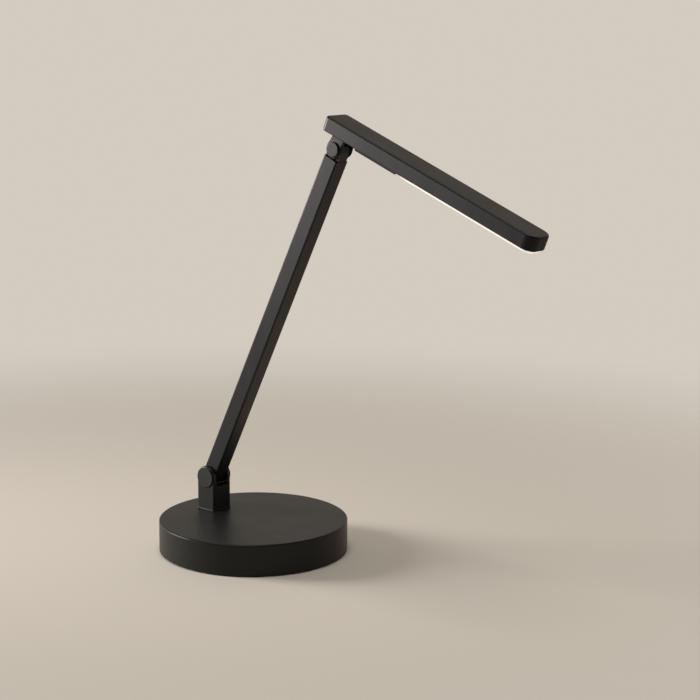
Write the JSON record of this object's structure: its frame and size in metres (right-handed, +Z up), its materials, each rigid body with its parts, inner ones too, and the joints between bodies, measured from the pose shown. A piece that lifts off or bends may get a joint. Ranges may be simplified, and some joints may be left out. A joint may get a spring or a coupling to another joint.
{
  "type": "led desk lamp",
  "caption": "Cordless desk lamp: weighted round base, forked post, square arm and slim light bar on friction hinges, with a push switch under the bar.",
  "frame": {"origin": "middle of the base's underside, on the surface the lamp stands on", "axes": "+Z up, +X the way the arm leans and the light bar reaches, both hinge axes along Y"},
  "size_m": [0.3732, 0.1622, 0.3769],
  "materials": {
    "painted_base": "satin black powder coat",
    "painted_hinge": "satin black paint on die-cast metal",
    "black_anodised": "fine satin black anodised",
    "satin_cap": "satin black moulded",
    "black_plastic": "matt moulded",
    "cover_plastic": "satin black moulded",
    "black_screw": "black oxide",
    "plated_steel": "zinc plated",
    "cast_iron": "as cast, primed",
    "foot_rubber": "matt foam rubber",
    "cell_wrap": "shrink film",
    "wire_jacket": "soft jacket",
    "circuit_board": "white solder resist",
    "washer_plastic": "natural nylon",
    "tape_grey": "thermal tape",
    "led_package": "phosphor",
    "diffuser_opal": "opal, lit warm white"
  },
  "bodies": {
    "base": {"base_shell": "painted_base", "base_plate": "plated_steel", "base_plate_screws": "plated_steel", "foot_pad": "foot_rubber", "counterweight": "cast_iron", "battery_cell": "cell_wrap", "battery_cradle": "black_plastic", "battery_contacts": "plated_steel", "battery_leads": "wire_jacket", "control_board": "circuit_board", "board_components": "black_plastic", "board_screws": "plated_steel", "inlet_shell": "plated_steel", "inlet_insulator": "black_plastic", "post_foot": "painted_hinge", "hinge_post": "painted_hinge", "backing_plate": "plated_steel", "post_screws": "plated_steel", "base_lead": "wire_jacket", "lower_hinge_screw": "plated_steel", "lower_disc_spring": "plated_steel", "lower_friction_washers": "washer_plastic", "lower_left_cap": "satin_cap", "lower_right_cap": "satin_cap"},
    "arm": {"arm_tube": "black_anodised", "lower_knuckle": "painted_hinge", "upper_knuckle": "painted_hinge", "knuckle_screws": "black_screw", "arm_lead": "wire_jacket"},
    "head": {"head_housing": "black_anodised", "head_bracket": "painted_hinge", "bracket_screws": "black_screw", "upper_hinge_screw": "plated_steel", "upper_disc_spring": "plated_steel", "upper_friction_washers": "washer_plastic", "upper_left_cap": "satin_cap", "upper_right_cap": "satin_cap", "led_board": "circuit_board", "thermal_tape": "tape_grey", "led_chips": "led_package", "diffuser": "diffuser_opal", "switch_cover": "cover_plastic", "cover_screws": "black_screw", "switch_board": "circuit_board", "push_switch": "black_plastic", "head_lead": "wire_jacket", "led_lead": "wire_jacket"},
    "button": {"switch_button": "cover_plastic", "switch_plunger": "washer_plastic"}
  },
  "joints": [
    {"name": "arm_tilt", "type": "hinge", "parent": "base", "child": "arm", "pos_m": [-0.0473, 0, 0.0568], "axis": [0, 1, 0], "range_deg": [-50, 35]},
    {"name": "head_tilt", "type": "hinge", "parent": "arm", "child": "head", "pos_m": [0.09518, 0, 0.35024], "axis": [0, 1, 0], "range_deg": [-85, 85]},
    {"name": "switch_press", "type": "slide", "parent": "head", "child": "button", "axis": [0.3697, 0, 0.9291], "range_m": [0, 0.0012], "stiffness_N_per_m": 600, "springref_m": -0.0005}
  ]
}
